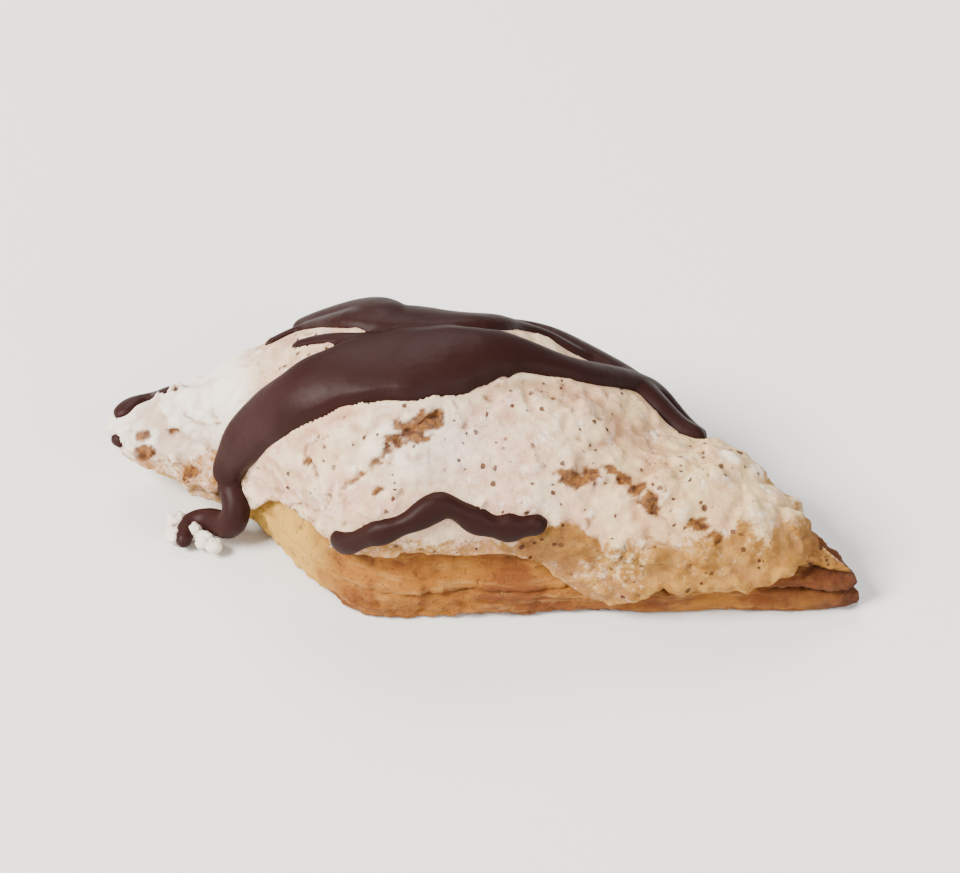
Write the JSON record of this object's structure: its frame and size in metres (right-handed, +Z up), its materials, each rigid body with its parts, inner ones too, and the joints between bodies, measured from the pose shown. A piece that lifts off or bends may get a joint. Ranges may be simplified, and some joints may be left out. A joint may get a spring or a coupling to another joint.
{
  "type": "filled almond cookie",
  "caption": "Domed rhomboid filled cookie of two golden dough sheets under a crust of baked almond icing with thick dark chocolate drizzle.",
  "frame": {"origin": "middle of the bounding box in plan, on the table the cookie stands on", "axes": "+X along the cookie towards the tip that lies flat, +Y away from its long front side, +Z up"},
  "size_m": [0.0774, 0.035, 0.0254],
  "materials": {
    "dough": "dry baked dough, golden to brown, flaky at the edge",
    "icing": "matt, dry and lumpy baked icing",
    "chocolate": "satin set chocolate"
  },
  "bodies": {
    "root": {"bottom_sheet": "dough", "filled_top": "dough", "icing": "icing"}
  },
  "joints": []
}
